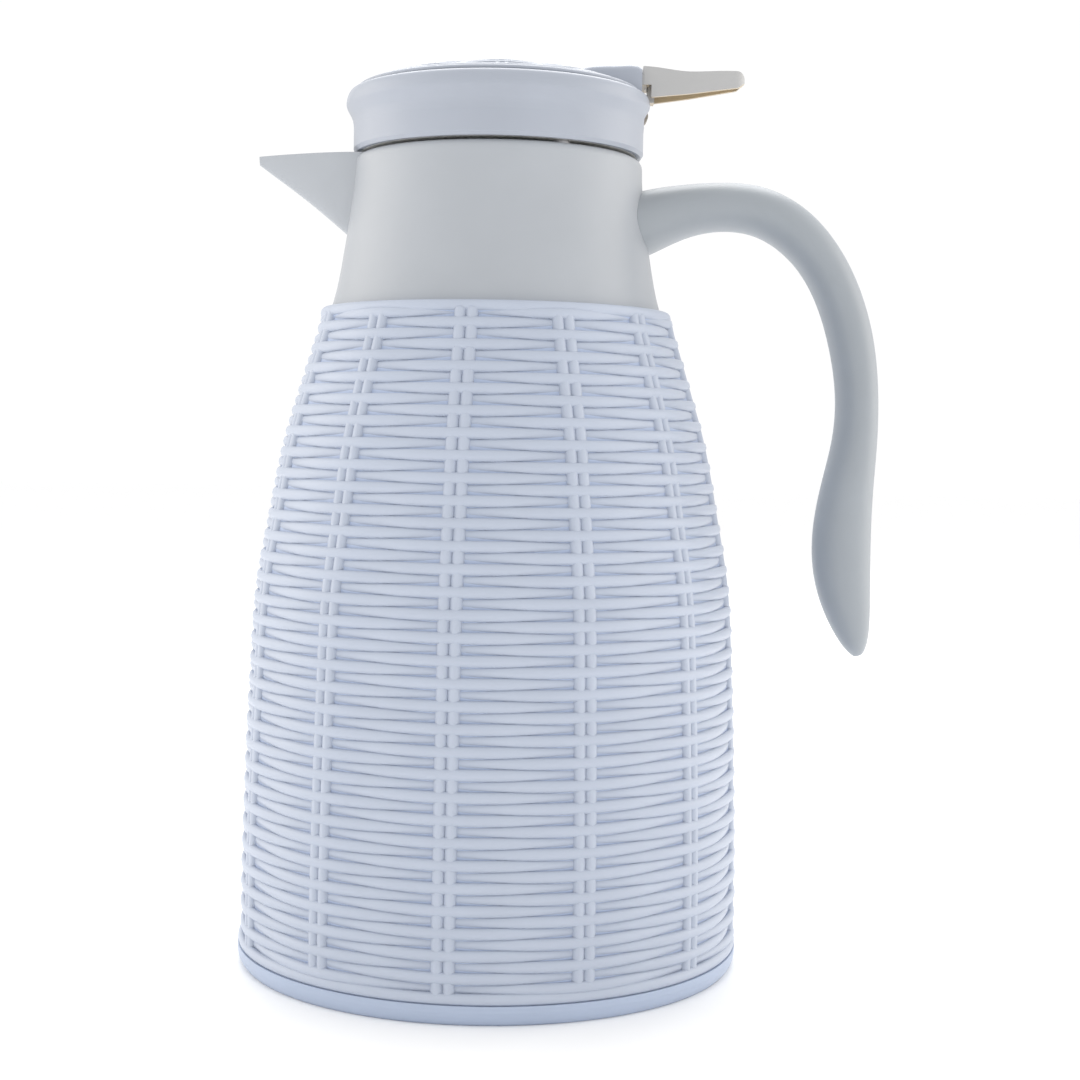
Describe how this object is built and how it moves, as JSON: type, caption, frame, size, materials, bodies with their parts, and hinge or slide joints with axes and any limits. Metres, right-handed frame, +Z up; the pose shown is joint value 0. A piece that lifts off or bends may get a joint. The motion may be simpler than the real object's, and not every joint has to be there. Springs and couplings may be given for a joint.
{
  "type": "vacuum jug",
  "caption": "Insulated vacuum jug with a woven-look tapered shell, beak spout, open loop handle and a screw-in lid whose thumb lever opens a pour valve.",
  "frame": {"origin": "centre of the underside, on the axis of the body", "axes": "+Z up along the body's axis, -X towards the spout, +X towards the handle and lever"},
  "size_m": [0.2083, 0.1644, 0.2926],
  "materials": {
    "woven_shell": "satin, moulded rattan weave",
    "neck_plastic": "satin",
    "lid_plastic": "smooth satin gloss",
    "lever_plastic": "smooth satin gloss",
    "base_plastic": "satin",
    "inner_plastic": "food-grade polypropylene",
    "silvered_glass": "silvered blown glass",
    "liner_pad": "pressed fibre",
    "silicone": "translucent white silicone",
    "black_rubber": "moulded rubber",
    "foot_rubber": "soft non-slip",
    "stop_rubber": "warm grey bumper",
    "foam": "closed-cell foam",
    "steel": "stainless"
  },
  "bodies": {
    "jug": {"outer_shell": "woven_shell", "neck_shell": "neck_plastic", "handle": "neck_plastic", "handle_screws": "steel", "inner_collar": "inner_plastic", "liner_inner": "silvered_glass", "liner_outer": "silvered_glass", "liner_spacers": "liner_pad", "mouth_gasket": "silicone", "base_cushion": "black_rubber", "base_cap": "base_plastic", "foot_ring": "foot_rubber"},
    "stopper_ring": {"stopper_seal": "silicone"},
    "lid": {"lid_skirt": "lid_plastic", "lid_cover": "lid_plastic", "lid_screws": "steel", "lever_stop": "stop_rubber", "lever_pin": "steel", "stopper_body": "inner_plastic", "stopper_base": "inner_plastic", "insulation_foam": "foam", "mechanism_deck": "inner_plastic", "stem_seal": "silicone", "return_spring": "steel"},
    "lever": {"lever": "lever_plastic"},
    "valve": {"valve_stem": "inner_plastic", "valve_disc": "inner_plastic", "valve_seal": "silicone", "stem_cap": "steel"}
  },
  "joints": [
    {"name": "lid_rise", "type": "slide", "parent": "jug", "child": "stopper_ring", "axis": [0, 0, 1], "range_m": [0, 0.048]},
    {"name": "lid_unscrew", "type": "hinge", "parent": "stopper_ring", "child": "lid", "pos_m": [0, 0, 0.24], "axis": [0, 0, 1], "range_deg": [0, 360]},
    {"name": "lever_press", "type": "hinge", "parent": "lid", "child": "lever", "pos_m": [0.034, 0, 0.2845], "axis": [0, 1, 0], "range_deg": [0, 8.5], "stiffness_Nm_per_rad": 0.1, "springref_deg": -14.32},
    {"name": "valve_lift", "type": "slide", "parent": "lid", "child": "valve", "axis": [0, 0, 1], "range_m": [0, 0.00504], "deforming": ["return_spring"]}
  ],
  "couplings": [
    {"joint": "lid_unscrew", "follows": "lid_rise", "rad_per_m": 130.9},
    {"joint": "lever_press", "follows": "valve_lift", "rad_per_m": 29.412}
  ]
}
